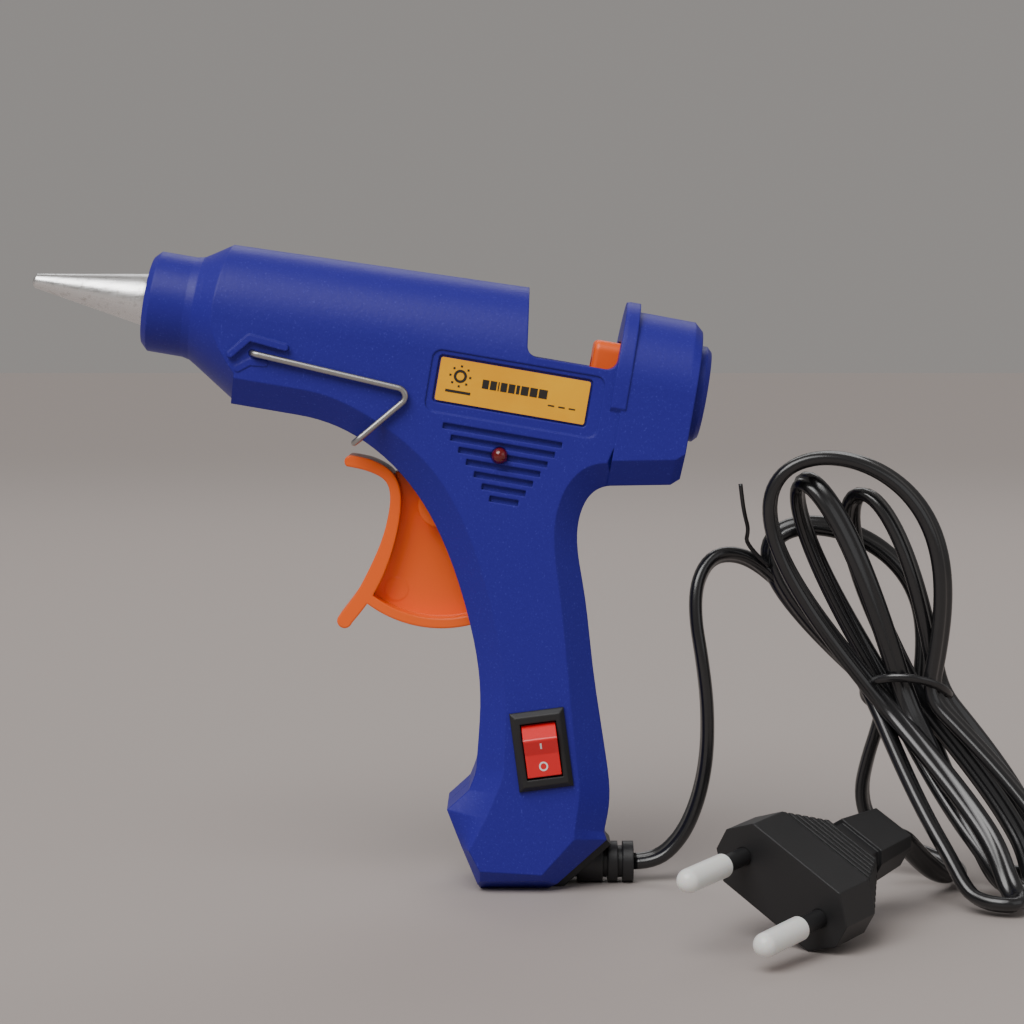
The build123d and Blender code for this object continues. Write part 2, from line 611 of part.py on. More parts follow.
def to_world(shape):
    """Tilt the barrel and stand the foot's middle on the origin."""
    middle = (FOOT_FRONT + FOOT_RUN / 2, down(1.0) + FOOT_RISE / 2)
    return Rot(0, TILT, 0) * Pos(-middle[0], 0, -middle[1]) * shape


def from_world(shape):
    middle = (FOOT_FRONT + FOOT_RUN / 2, down(1.0) + FOOT_RISE / 2)
    return Pos(middle[0], 0, middle[1]) * Rot(0, -TILT, 0) * shape


# --- mains lead, in standing axes -----------------------------------------------------------------------
LEAD = [(GLAND_END, 0, GLAND_AXIS), (27.6, 0, GLAND_AXIS), (32.6, 0, 8.6), (35.8, 0, 15.6), (37.6, 0, 24.4),
        (37.7, 0, 34.5), (36.6, 0, 43.6), (35.2, 1.0, 52.0), (35.6, 2.6, 58.8), (38.6, 4.6, 63.6), (44.0, 6.4, 64.0),
        (49.4, 7.8, 61.0)]
TAIL = [(71.6, 2.0, 31.5), (69.6, 4.2, 24.0), (68.4, 5.6, 16.8), (70.2, 6.0, 10.4), (74.8, 5.4, 6.8),
        (80.6, 4.0, 4.6), (85.6, 0.2, 3.2), (86.0, -6.0, 2.5), (81.8, -11.0, 3.4), (76.8, -15.2, 7.8)]


def corner_radii(points):
    """Largest arc at each corner: 0.45 of its shorter run over the tangent of half the turn."""
    runs = [b - a for a, b in zip(points, points[1:])]
    return [0.45 * min(a.length, b.length) / tan(radians(a.get_angle(b)) / 2) for a, b in zip(runs, runs[1:])]


def cord(name, points):
    points = [Vector(*p) for p in points]
    radii = corner_radii(points)
    path = FilletPolyline(*points, radius=radii)
    tube = sweep(Plane(path @ 0, z_dir=path % 0) * Circle(CORD_R), path=path)
    share = tube.volume / (pi * CORD_R**2 * path.length)
    print(name, "length", round(path.length, 1), "radii", [round(r, 1) for r in radii], "volume", round(share, 4))
    return tube


def cord_hank():
    """Outer shape of the tied hank: a flat teardrop of loops above the tie, a spreading foot below it."""
    tie = Vector(76.4, 0, 36.6)
    crown = Spline([Vector(69.2, 0, 38.6), Vector(53.0, 0, 57.5), Vector(46.0, 0, 70.0), Vector(50.0, 0, 81.6),
                    Vector(61.0, 0, 86.6), Vector(73.0, 0, 81.6), Vector(81.6, 0, 68.0), Vector(82.6, 0, 52.0),
                    Vector(82.0, 0, 40.4)])
    top = make_face([crown, Line(crown @ 1, crown @ 0)])
    upper = extrude(top, amount=9.5, dir=(0, 1, 0), both=True)
    waist = Plane(tie, x_dir=(1, 0, -0.35), z_dir=(-0.35, 0, -1)) * Ellipse(8.2, 6.2)
    middle = Plane((84.5, -6, 17), z_dir=(-0.5, 0.3, -1), x_dir=(1, 0, -0.5)) * Ellipse(14.5, 13.0)
    foot = Plane((92.0, -13, 0), z_dir=(0, 0, -1), x_dir=(1, 0, 0)) * Ellipse(15.5, 25.0)
    return upper + loft([waist, middle, foot])


def cord_tie():
    """Wire tie pulled round the waist of the hank."""
    plane = Plane((76.4, 0, 36.6), x_dir=(1, 0, -0.15), z_dir=(-0.15, 0, -1))
    band = extrude(plane * (Ellipse(9.6, 7.4) - Ellipse(8.4, 6.2)), amount=0.9, both=True)
    return band


def plug_plane():
    """Plug axes: x out of the pin face, y across the pins, z up."""
    yaw, dip, roll = radians(PLUG_YAW), radians(PLUG_DIP), PLUG_ROLL
    ahead = Vector(cos(yaw) * cos(dip), sin(yaw) * cos(dip), -sin(dip))
    level = Vector(0, 0, 1) - ahead * ahead.Z
    up = level.normalized().rotate(Axis((0, 0, 0), ahead), -roll)
    return Plane(PLUG_AT, x_dir=ahead, z_dir=up)


def hexagon(x, half, flat, height, edge):
    """Cross-section of the plug at x: flat top and bottom, cut-off ends."""
    ring = [(-half, edge), (-flat, height), (flat, height), (half, edge), (half, -edge), (flat, -height),
            (-flat, -height), (-half, -edge)]
    return Polyline([Vector(x, y, z) for y, z in ring], close=True).wire()


def plug_body():
    head = Solid.make_loft([hexagon(0, 14.0, 10.0, 6.6, 2.2), hexagon(-9.5, 14.0, 10.0, 6.6, 2.2)], ruled=True)
    waist = Solid.make_loft([hexagon(-9.5, 14.0, 10.0, 6.6, 2.2), hexagon(-20.5, 7.4, 5.6, 4.8, 2.0)], ruled=True)
    neck = Solid.make_loft([hexagon(-20.5, 5.4, 4.2, 4.0, 2.0), hexagon(-24.0, 5.4, 4.2, 4.0, 2.0)], ruled=True)
    block = Solid.make_loft([hexagon(-24.0, 6.0, 4.8, 4.7, 2.4), hexagon(-36.0, 5.2, 4.2, 4.2, 2.2)], ruled=True)
    ribs = []
    for i in range(6):
        x = -10.8 - 1.7 * i
        ribs.append(Pos(x, 0, 0) * (Box(0.8, 40, 20) - Box(1.0, 2 * (12.5 - 1.0 * i), 11.6 - 0.54 * i)))
    holes = [tube_x(PLUG_PIN_R, -7.0, 1.0, side * PIN_GAP) for side in (-1, 1)]
    end = tube_x(CORD_R, -40.0, -33.0)
    return head + waist + neck + block - ribs - holes - end


def pin_parts():
    """Live pins, their sleeves and the two caps that cover them for transport, along plug x."""
    pins, sleeves, caps = [], [], []
    for side in (-1, 1):
        y = side * PIN_GAP
        live = tube_x(PLUG_PIN_R, PIN_SLEEVE_END, PIN_ROUND_AT, y) + Pos(PIN_ROUND_AT, y, 0) * Sphere(PLUG_PIN_R)
        pins.append(tube_x(PIN_CORE_R, -7.0, PIN_SLEEVE_END + 0.1, y) + live)
        sleeves.append(tube_x(PLUG_PIN_R, -7.0, PIN_SLEEVE_END, y) - tube_x(PIN_CORE_R, -8.0, PIN_SLEEVE_END + 1, y))
        outer = tube_x(CAP_R, CAP_START, PIN_ROUND_AT + 0.1, y) + Pos(PIN_ROUND_AT + 0.1, y, 0) * Sphere(CAP_R)
        room = PLUG_PIN_R + 0.04
        inner = tube_x(room, CAP_START - 1.0, PIN_ROUND_AT, y) + Pos(PIN_ROUND_AT, y, 0) * Sphere(room)
        caps.append(outer - inner)
    return pins, sleeves, caps


# --- strain relief and wiring -------------------------------------------------------------------------
def strain_relief():
    """Moulded relief: a collar flat against the heel, then a short ringed stem along the cord's way out."""
    stem = Pos(GLAND_END - 5.5, 0, GLAND_AXIS) * Rot(0, 90, 0) * Cylinder(GLAND_R, 11.0)
    for k in (0, 1):
        x = GLAND_END - 2.6 - 2.9 * k
        stem -= Pos(x, 0, GLAND_AXIS) * Rot(0, 90, 0) * (Cylinder(6, 1.0) - Cylinder(GLAND_R - 0.9, 2.0))
    neck = Pos(GLAND_END - 13.0, 0, GLAND_AXIS) * Rot(0, 90, 0) * Cylinder(GLAND_NECK_R, 12.0)
    a, b = HEEL[0][0], HEEL[1][0]
    along = Vector(b[0] - a[0], 0, b[1] - a[1])
    lean = degrees(atan2(along.Z, along.X))
    centre = Vector((a[0] + b[0]) / 2, 0, (a[1] + b[1]) / 2)
    disc = Box(along.length - 1.0, 9.0, 2.0)
    collar = to_world(Pos(*centre) * Rot(0, -lean, 0) * Pos(0, 0, -1.0) * disc)
    grip = to_world(Pos(*centre) * Rot(0, -lean, 0) * Pos(0, 0, -15.0) * Box(60, 60, 28))
    bore = Pos(GLAND_END - 10, 0, GLAND_AXIS) * Rot(0, 90, 0) * Cylinder(CORD_R, 30)
    table = Pos(0, 0, -10) * Box(200, 200, 20)
    return (stem & grip) + collar + neck - bore - table


def cord_inner():
    """The cord's last stretch, from the relief's mouth to the clamp inside the grip."""
    length = GLAND_END - CLAMP_X + 4.0
    return Pos(GLAND_END - length / 2, 0, GLAND_AXIS) * Rot(0, 90, 0) * Cylinder(CORD_R, length)


def cord_clamp():
    """Clamp bar that presses the cord down inside the heel."""
    bar = Pos(CLAMP_X, 0, GLAND_AXIS + CORD_R + 1.0) * Box(5.0, 14.0, 2.0)
    holes = [Pos(CLAMP_X, y, GLAND_AXIS + 3) * Cylinder(CLAMP_SCREW_R, 20) for y in (-5.0, 5.0)]
    return bar - holes


def clamp_screws():
    top = GLAND_AXIS + CORD_R + 2.0
    screw = Pos(0, 0, -2.2) * Cylinder(CLAMP_SCREW_R, 4.4) + Pos(0, 0, 0.6) * Cylinder(1.9, 1.2)
    return [Pos(CLAMP_X, y, top) * screw for y in (-5.0, 5.0)]


def lead_wires():
    """Single wires from the cord's end up past the switch to the heater and the lamp."""
    y = HALF_WIDTH - WALL - 3.0
    routes = [[(87.5, y, -85.0), (88.0, y, -70.0), (90.6, y, -52.0), (87.0, y, -38.0), (84.0, y, -18.0),
               (72.0, y, -12.0), (56.0, y, -8.6), (48.0, y - 1.4, -8.8), (42.9, y - 4.4, -8.8)],
              [(90.2, y - 1.6, -85.0), (90.6, y - 1.6, -70.0), (91.0, y - 1.6, -54.0), (88.6, y - 2, -38.0),
               (84.6, -4.0, -26.0), (82.2, -6.5, -20.0)]]
    wires = []
    for route in routes:
        points = [Vector(*p) for p in route]
        wires.append(rod(points, corner_radii(points), 0.65))
    return wires


def write(nodes):
    for name, shape in nodes.items():
        if isinstance(shape, (list, tuple)):
            shape = Compound(children=[Compound(item.solids()) if len(item.solids()) > 1 else item.solid()
                                       for item in shape])
        export_step(shape, f"parts/{name}.step")


def main():
    near, far = halves()
    plate, wrap, clip = heater_stack()
    gun = {
        "housing_left": near,
        "housing_right": far,
        "nozzle": nozzle(),
        "nozzle_bush": nozzle_bush(),
        "melt_chamber": melt_chamber(),
        "heater_plate": plate,
        "heater_insulation": wrap,
        "heater_clip": clip,
        "inlet_sleeve": inlet_sleeve(),
        "sleeve_clamp": sleeve_clamp(),
        "rear_guide": rear_guide(),
        "label_plate": label_plate(),
        "indicator_lamp": indicator_lamp(),
        "lamp_resistor": lamp_resistor(),
        "switch_body": switch_body(),
        "switch_terminals": switch_terminals(),
        "switch_rocker": switch_rocker(),
        "trigger": trigger(),
        "trigger_pin": trigger_pin(),
        "return_spring": return_spring(),
        "housing_screws": screws(),
        "feeder_carriage": feeder_carriage(),
        "feeder_pin": feeder_pin(),
        "wire_stand": wire_stand(),
        "lead_wires": lead_wires(),
    }
    nodes = {}
    for name, shape in gun.items():
        nodes[name] = [to_world(item) for item in shape] if isinstance(shape, list) else to_world(shape)
    nodes["strain_relief"] = strain_relief()
    nodes["cord_clamp"] = cord_clamp()
    nodes["clamp_screws"] = clamp_screws()
    nodes["cord_inner"] = cord_inner()
    place = plug_plane().location
    pins, sleeves, caps = pin_parts()
    nodes["plug_body"] = place * plug_body()
    nodes["plug_pins"] = [place * item for item in pins]
    nodes["pin_sleeves"] = [place * item for item in sleeves]
    nodes["pin_cap_left"] = place * caps[0]
    nodes["pin_cap_right"] = place * caps[1]
    neck_out = place * Pos(-33.0, 0, 0) * Vertex(0, 0, 0)
    neck_lead = place * Pos(-41.0, 0, 0) * Vertex(0, 0, 0)
    nodes["cord_lead"] = cord("lead", LEAD)
    nodes["cord_tail"] = cord("tail", TAIL + [tuple(neck_lead.center()), tuple(neck_out.center())])
    nodes["cord_hank"] = cord_hank()
    nodes["cord_tie"] = cord_tie()
    write(nodes)


main()
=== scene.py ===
from math import cos, pi, radians, sin

import bpy
from mathutils import Matrix, Vector

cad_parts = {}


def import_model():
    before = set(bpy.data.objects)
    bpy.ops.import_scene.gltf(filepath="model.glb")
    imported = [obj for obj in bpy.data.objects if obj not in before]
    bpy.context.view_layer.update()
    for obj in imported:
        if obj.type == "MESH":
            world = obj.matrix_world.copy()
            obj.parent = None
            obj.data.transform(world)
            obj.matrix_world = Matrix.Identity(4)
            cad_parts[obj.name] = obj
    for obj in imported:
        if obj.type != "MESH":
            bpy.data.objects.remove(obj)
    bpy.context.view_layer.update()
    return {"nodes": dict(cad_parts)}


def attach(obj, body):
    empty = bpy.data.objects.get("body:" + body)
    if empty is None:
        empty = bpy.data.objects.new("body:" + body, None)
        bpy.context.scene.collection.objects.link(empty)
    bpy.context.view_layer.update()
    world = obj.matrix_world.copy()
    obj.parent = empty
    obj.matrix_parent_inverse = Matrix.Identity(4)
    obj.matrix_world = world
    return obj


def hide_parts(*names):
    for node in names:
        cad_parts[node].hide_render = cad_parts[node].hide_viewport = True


# Small glue gun standing on its foot beside its tied mains lead.
# The row frame is in metres: -X is ahead, -Y is the side with the switch, +Z is up.

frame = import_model()

MM = 0.001
TILT = radians(9.7)          # how far the barrel points up
FOOT = (88.9, -100.09)       # middle of the foot in barrel axes
SIDE = -12.6                 # flat side with the switch
LABEL_FACE = -12.42          # outer face of the label
ROCKER_LEAN = radians(17.2)  # how far the switch leans back against the barrel's axis
SEAM_HALF_WIDTH = 0.12       # of the line where the two halves of the housing meet


def world(u, w, y=0.0):
    """Barrel axes in millimetres (back, up, across) to the row frame in metres."""
    x, z = u - FOOT[0], w - FOOT[1]
    return Vector((x * cos(TILT) + z * sin(TILT), y, -x * sin(TILT) + z * cos(TILT))) * MM


# --- camera, light and floor ----------------------------------------------------------------------------
def add_camera():
    data = bpy.data.cameras.new("camera")
    data.lens = 90.53
    data.sensor_width = 36.0
    data.clip_start = 0.01
    cam = bpy.data.objects.new("camera", data)
    cam.location = (-0.0005, -0.49876, 0.10783)
    cam.rotation_euler = (radians(90 - 4.04), 0, 0)
    bpy.context.scene.collection.objects.link(cam)
    bpy.context.scene.camera = cam


def area_light(name, place, aim, size, power, tint=(1, 1, 1)):
    data = bpy.data.lights.new(name, "AREA")
    data.shape = "RECTANGLE"
    data.size, data.size_y = size
    data.energy = power
    data.color = tint
    light = bpy.data.objects.new(name, data)
    light.location = place
    away = Vector(place) - Vector(aim)
    light.rotation_euler = away.to_track_quat("Z", "Y").to_euler()
    bpy.context.scene.collection.objects.link(light)


def add_sun():
    """Broad light from above, which keeps the floor even far behind the gun."""
    data = bpy.data.lights.new("sun", "SUN")
    data.energy = 1.9
    data.angle = radians(50)
    light = bpy.data.objects.new("sun", data)
    light.rotation_euler = (radians(32), radians(-22), 0)
    bpy.context.scene.collection.objects.link(light)


# --- materials ------------------------------------------------------------------------------------------
class Shader:
    """A principled material and short ways to add nodes to it."""

    def __init__(self, name, **values):
        self.material = bpy.data.materials.new(name)
        self.material.use_nodes = True
        self.tree = self.material.node_tree
        self.bsdf = self.tree.nodes["Principled BSDF"]
        for key, value in values.items():
            self.bsdf.inputs[key.replace("_", " ")].default_value = value

    def node(self, kind, links=None, **settings):
        made = self.tree.nodes.new(kind)
        for key, value in settings.items():
            setattr(made, key, value)
        for key, value in (links or {}).items():
            if isinstance(value, bpy.types.NodeSocket):
                self.tree.links.new(value, made.inputs[key])
            else:
                made.inputs[key].default_value = value
        return made

    def math(self, kind, a, b=0.0, clamp=False):
        return self.node("ShaderNodeMath", {0: a, 1: b}, operation=kind, use_clamp=clamp).outputs[0]

    def place(self, turn=(0, 0, 0), scale=(1, 1, 1)):
        coords = self.node("ShaderNodeTexCoord").outputs["Object"]
        mapping = self.node("ShaderNodeMapping", {"Vector": coords, "Rotation": turn, "Scale": scale})
        return mapping.outputs["Vector"]

    def noise(self, scale, detail=3.0, where=None, rough=0.5):
        links = {"Scale": scale, "Detail": detail, "Roughness": rough}
        links["Vector"] = where or self.place()
        return self.node("ShaderNodeTexNoise", links).outputs["Fac"]

    def ramp(self, value, stops):
        made = self.node("ShaderNodeValToRGB", {"Fac": value})
        band = made.color_ramp
        while len(band.elements) < len(stops):
            band.elements.new(0.5)
        for element, (at, colour) in zip(band.elements, stops):
            element.position = at
            element.color = (*colour, 1) if len(colour) == 3 else colour
        return made.outputs["Color"]

    def bumps(self, layers, edge=0.0):
        """layers is [(height, strength, distance in mm)]; edge is a rounding radius in mm."""
        normal = None
        if edge:
            normal = self.node("ShaderNodeBevel", {"Radius": edge * MM}, samples=6).outputs["Normal"]
        for height, strength, distance in layers:
            links = {"Height": height, "Strength": strength, "Distance": distance * MM}
            if normal:
                links["Normal"] = normal
            normal = self.node("ShaderNodeBump", links).outputs["Normal"]
        self.tree.links.new(normal, self.bsdf.inputs["Normal"])

    def feed(self, socket, value):
        self.tree.links.new(value, self.bsdf.inputs[socket])


def plain(name, colour, roughness, metallic=0.0, edge=0.0, **more):
    shader = Shader(name, Base_Color=(*colour, 1), Roughness=roughness, Metallic=metallic, **more)
    if edge:
        shader.bumps([], edge)
    return shader.material


def housing_blue():
    shader = Shader("housing_blue", Base_Color=(0.020, 0.012, 0.26, 1), Specular_IOR_Level=0.30)
    grain = shader.noise(1500, 4.0, rough=0.6)
    veins = shader.node("ShaderNodeTexVoronoi", {"Vector": shader.place(), "Scale": 620.0, "Randomness": 1.0},
                        feature="DISTANCE_TO_EDGE").outputs["Distance"]
    crackle = shader.math("MULTIPLY", veins, 3.0, True)
    flecks = shader.noise(2600, 2.0)
    patch = shader.noise(45, 2.0)
    tone = shader.ramp(flecks, [(0.0, (0.017, 0.010, 0.24)), (0.62, (0.021, 0.013, 0.27)),
                                (0.74, (0.040, 0.035, 0.35)), (1.0, (0.08, 0.075, 0.43))])
    shader.feed("Base Color", tone)
    shader.feed("Roughness", shader.ramp(patch, [(0.3, (0.42, 0.42, 0.42)), (0.7, (0.50, 0.50, 0.50))]))
    across = shader.node("ShaderNodeSeparateXYZ", {0: shader.place()}).outputs["Y"]
    seam = shader.math("DIVIDE", shader.math("ABSOLUTE", across), SEAM_HALF_WIDTH * MM, True)
    shader.bumps([(seam, 0.6, 0.15), (crackle, 0.25, 0.03), (grain, 0.5, 0.05)], 0.5)
    return shader.material


def trigger_orange():
    shader = Shader("trigger_orange", Base_Color=(1.0, 0.13, 0.003, 1), Roughness=0.34, Coat_Weight=0.1,
                    Coat_Roughness=0.25, Subsurface_Weight=0.04, Subsurface_Scale=0.002)
    grain = shader.noise(900, 3.0)
    shader.bumps([(grain, 0.12, 0.03)], 0.6)
    return shader.material


def nozzle_metal():
    shader = Shader("cast_alloy", Base_Color=(0.80, 0.80, 0.80, 1), Metallic=1.0, Roughness=0.27)
    streaks = shader.noise(1400, 4.0, shader.place(turn=(0, TILT, 0), scale=(0.06, 1, 1)))
    pits = shader.noise(900, 5.0)
    shader.feed("Roughness", shader.ramp(streaks, [(0.3, (0.18, 0.18, 0.18)), (0.7, (0.42, 0.42, 0.42))]))
    shader.feed("Base Color", shader.ramp(pits, [(0.28, (0.62, 0.61, 0.60)), (0.45, (0.82, 0.82, 0.82))]))
    shader.bumps([(streaks, 0.45, 0.05), (pits, 0.25, 0.04)], 0.25)
    return shader.material


def cord_black():
    shader = Shader("cord_pvc", Base_Color=(0.010, 0.010, 0.011, 1), Roughness=0.24, Coat_Weight=0.35,
                    Coat_Roughness=0.16)
    wave = shader.noise(160, 2.0)
    shader.bumps([(wave, 0.25, 0.10), (shader.noise(1200, 2.0), 0.08, 0.02)])
    return shader.material


def moulded_black():
    shader = Shader("moulded_black", Base_Color=(0.013, 0.013, 0.014, 1), Roughness=0.46)
    shader.bumps([(shader.noise(1300, 4.0), 0.45, 0.04)], 0.45)
    return shader.material


def label_orange():
    shader = Shader("label_foil", Base_Color=(0.95, 0.43, 0.004, 1), Roughness=0.32)
    tone = shader.noise(120, 3.0)
    shader.feed("Base Color", shader.ramp(tone, [(0.3, (0.92, 0.40, 0.003)), (0.7, (1.0, 0.48, 0.006))]))
    return shader.material


def lamp_red():
    return plain("lamp_lens", (0.20, 0.004, 0.006), 0.08, Transmission_Weight=0.35, IOR=1.5, Coat_Weight=0.5)


def rocker_red():
    return plain("rocker_red", (0.80, 0.012, 0.016), 0.22, edge=0.35, Coat_Weight=0.3)


MATERIALS = {
    "blue": housing_blue(),
    "orange": trigger_orange(),
    "alloy": nozzle_metal(),
    "steel": plain("steel", (0.42, 0.41, 0.40), 0.36, 1.0),
    "cord": cord_black(),
    "black": moulded_black(),
    "white": plain("cap_white", (0.84, 0.83, 0.80), 0.28, Subsurface_Weight=0.1, Subsurface_Scale=0.002),
    "pins": plain("plated_pins", (0.78, 0.76, 0.70), 0.22, 1.0),
    "silicone": plain("silicone", (0.42, 0.10, 0.05), 0.55),
    "ceramic": plain("ceramic", (0.70, 0.67, 0.60), 0.7),
    "block": plain("feeder_orange", (1.0, 0.12, 0.004), 0.38, edge=0.4),
    "label": label_orange(),
    "ink": plain("label_ink", (0.02, 0.016, 0.012), 0.45),
    "lamp": lamp_red(),
    "red": rocker_red(),
    "mark": plain("switch_mark", (0.86, 0.84, 0.82), 0.4),
    "sleeving": plain("wire_sleeving", (0.06, 0.12, 0.45), 0.5),
}

WEARS = {
    "blue": ("housing_left", "housing_right", "rear_guide"),
    "orange": ("trigger",),
    "alloy": ("nozzle", "melt_chamber"),
    "steel": ("wire_stand", "return_spring", "trigger_pin", "feeder_pin", "heater_clip", "sleeve_clamp",
              "housing_screws", "clamp_screws"),
    "cord": ("cord_inner",),
    "black": ("plug_body", "switch_body", "strain_relief", "cord_clamp", "pin_sleeves"),
    "white": ("pin_cap_left", "pin_cap_right"),
    "pins": ("plug_pins", "switch_terminals"),
    "silicone": ("nozzle_bush", "inlet_sleeve"),
    "ceramic": ("heater_plate", "heater_insulation", "lamp_resistor"),
    "block": ("feeder_carriage",),
    "label": ("label_plate",),
    "lamp": ("indicator_lamp",),
    "red": ("switch_rocker",),
    "sleeving": ("lead_wires",),
}


def dress():
    for look, nodes in WEARS.items():
        for node in nodes:
            mesh = frame["nodes"][node].data
            mesh.materials.clear()
            mesh.materials.append(MATERIALS[look])


# --- pieces ---------------------------------------------------------------------------------------------
def mesh_piece(name, verts, faces, look, smooth=False):
    mesh = bpy.data.meshes.new(name)
    mesh.from_pydata([tuple(v) for v in verts], [], faces)
    mesh.materials.append(MATERIALS[look])
    if smooth:
        mesh.shade_smooth()
    mesh.update()
    piece = bpy.data.objects.new(name, mesh)
    bpy.context.scene.collection.objects.link(piece)
    return piece


def block(verts, faces, centre, half):
    """Add a box with the given half sizes to a mesh that is being made."""
    start = len(verts)
    for sx in (-1, 1):
        for sy in (-1, 1):
            for sz in (-1, 1):
                verts.append(Vector((centre[0] + sx * half[0], centre[1] + sy * half[1],
                                     centre[2] + sz * half[2])))
    for quad in ((0, 1, 3, 2), (4, 6, 7, 5), (0, 4, 5, 1), (2, 3, 7, 6), (0, 2, 6, 4), (1, 5, 7, 3)):
        faces.append([start + i for i in quad])


def flat_ring(verts, faces, centre, outer, inner, depth, count=32):
    """Add a flat washer in the x-z plane to a mesh that is being made."""
    start = len(verts)
    for i in range(count):
        turn = 2 * pi * i / count
        for radius in (outer, inner):
            for y in (-depth, depth):
                verts.append(Vector((centre[0] + radius[0] * cos(turn), centre[1] + y,
                                     centre[2] + radius[1] * sin(turn))))
    for i in range(count):
        a, b = start + 4 * i, start + 4 * ((i + 1) % count)
        faces += [[a, b, b + 2, a + 2], [a + 1, a + 3, b + 3, b + 1],
                  [a, a + 1, b + 1, b], [a + 2, b + 2, b + 3, a + 3]]


# --- the cord ---------------------------------------------------------------------------------------------
LEAD = [(23.2, 0, 4.0), (27.6, 0, 4.0), (32.6, 0, 8.6), (35.8, 0, 15.6), (37.6, 0, 24.4), (37.7, 0, 34.5),
        (36.6, 0, 43.6), (35.2, 1.0, 52.0), (35.6, 2.6, 58.8), (38.6, 4.6, 63.6), (44.0, 6.4, 64.0),
        (49.4, 7.8, 61.0)]
TAIL = [(71.6, 2.0, 31.5), (69.6, 4.2, 24.0), (68.4, 5.6, 16.8), (70.2, 6.0, 10.4), (74.8, 5.4, 6.8),
        (80.6, 4.0, 4.6), (85.6, 0.2, 3.2), (86.0, -6.0, 2.5), (81.8, -11.0, 3.4), (76.8, -15.2, 7.8)]
JOIN = [(55.6, 8.0, 54.6), (62.0, 6.0, 47.6), (67.2, 2.4, 41.6)]
NECK = [(71.56, -22.8, 14.09), (66.65, -29.08, 13.45)]
TIE = Vector((76.4, 0, 36.6))
LOOSE_END = [(50.0, 5.0, 61.5), (45.0, 3.5, 66.0), (45.6, 1.0, 69.0), (44.6, -1.2, 72.0), (44.0, -2.2, 75.0),
             (43.6, -2.6, 78.2)]
CORD_WIDE, CORD_THICK = 4.4, 2.8
# where each strand passes through the tie: across it and in depth
SLOTS = [(-6.2, -0.6), (-4.8, -3.6), (3.8, -4.2), (-2.6, 0.4), (-0.6, -3.8), (1.8, 0.2), (6.4, -1.6),
         (2.8, 3.2), (-4.0, 3.2)]
# each turn of the hank: its far end, and how it spreads towards the side that it starts on
TURNS = [((91.5, -31.5, 0.5), (-3.8, -1.5, -1.0)), ((60.2, -5.5, 83.6), (-12.5, 0, 0.5)),
         ((101.5, -26.0, 1.5), (3.4, 2.0, 1.6)), ((55.6, -1.0, 78.8), (-2.2, 3.0, -1.4)),
         ((98.0, -17.0, 2.0), (-2.8, -1.4, -1.2)), ((67.0, 0.5, 76.2), (-2.4, 3.0, -1.2)),
         ((100.0, -7.0, 2.0), (3.6, 1.6, 1.6)), ((59.5, 8.5, 69.5), (11.0, 0, -1.0))]
STEPS = 16                   # points on each turn
REST_HEIGHT = 2.3            # of a strand's middle where it lies on the floor
SETTLE_FROM, SETTLE_BELOW = 1.0, 9.0    # heights between which a strand is pressed up towards that
SETTLE_SPAN = 16.0
LINE_STEP = 1.2              # between the points along the cord


def slot_point(index):
    across, depth = SLOTS[index]
    return TIE + Vector((across, depth, 0.15 * across))


def settled(height):
    """The height of a low point of a strand once the floor holds it up."""
    if height >= SETTLE_BELOW:
        return height
    if height <= SETTLE_FROM:
        return REST_HEIGHT
    return REST_HEIGHT + (height - SETTLE_FROM) ** 2 / SETTLE_SPAN


def hank_points():
    """The strands of the hank: each turn swells out of the tie, round its far end and back in."""
    points = []
    for k, (end, spread) in enumerate(TURNS):
        a, b = slot_point(k), slot_point(k + 1)
        reach = Vector(end) - (a + b) / 2
        for i in range(STEPS):
            turn = pi * i / STEPS
            share = (1 - cos(turn)) / 2
            point = a.lerp(b, share) + reach * sin(turn) + Vector(spread) * sin(2 * turn)
            point.z = settled(point.z)
            points.append(point)
    points.append(slot_point(len(TURNS)))
    return points


def centreline(points, fine=10):
    """The points along a smooth open curve through the route, in metres."""
    data = bpy.data.curves.new("route", "CURVE")
    data.dimensions = "3D"
    data.resolution_u = fine
    spline = data.splines.new("NURBS")
    spline.points.add(len(points) - 1)
    for control, point in zip(spline.points, points):
        control.co = (*(Vector(point) * MM), 1)
    spline.order_u = 3
    spline.use_endpoint_u = True
    line = bpy.data.objects.new("route", data)
    bpy.context.scene.collection.objects.link(line)
    bpy.context.view_layer.update()
    mesh = bpy.data.meshes.new_from_object(line.evaluated_get(bpy.context.evaluated_depsgraph_get()))
    found = [v.co.copy() for v in mesh.vertices]
    bpy.data.objects.remove(line)
    bpy.data.meshes.remove(mesh)
    return found


def spaced(line, step):
    """The same line with its points step apart."""
    kept = [line[0]]
    left = step
    for a, b in zip(line, line[1:]):
        run = (b - a).length
        while run >= left:
            a = a.lerp(b, left / run)
            kept.append(a)
            run = (b - a).length
            left = step
        left -= run
    kept.append(line[-1])
    return kept


